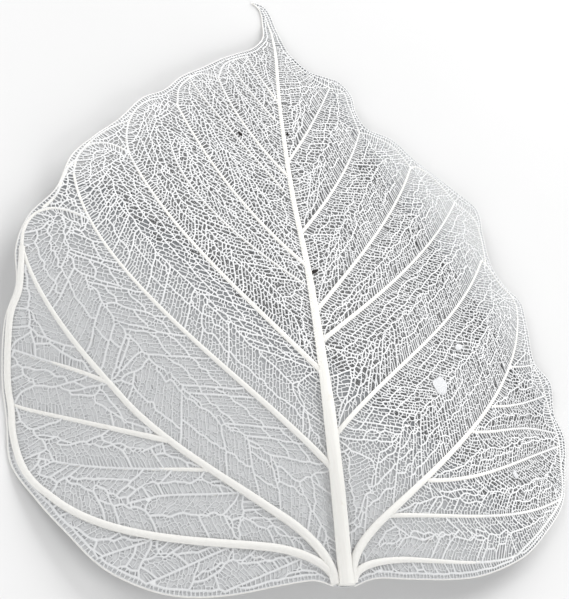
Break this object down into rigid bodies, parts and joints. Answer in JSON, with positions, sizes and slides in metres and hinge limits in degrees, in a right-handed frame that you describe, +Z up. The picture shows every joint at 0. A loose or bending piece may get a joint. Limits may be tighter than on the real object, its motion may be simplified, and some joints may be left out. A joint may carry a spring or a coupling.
{
  "type": "skeleton leaf",
  "caption": "Bleached skeleton of a heart-shaped fig leaf with a long drip tip: midrib, arching side veins, scalloped margin vein and raised net, gently arched.",
  "frame": {"origin": "middle of the leaf's outline seen from above, on the surface that it lies on", "axes": "+Z up, +Y along the midrib from the cut base to the drip tip, +X to the right with the ribbed side up"},
  "size_m": [0.1048, 0.1228, 0.0065],
  "materials": {
    "leaf_skeleton": "matt, bleached plant fibre, cream white"
  },
  "bodies": {
    "root": {"leaf": "leaf_skeleton"}
  },
  "joints": []
}
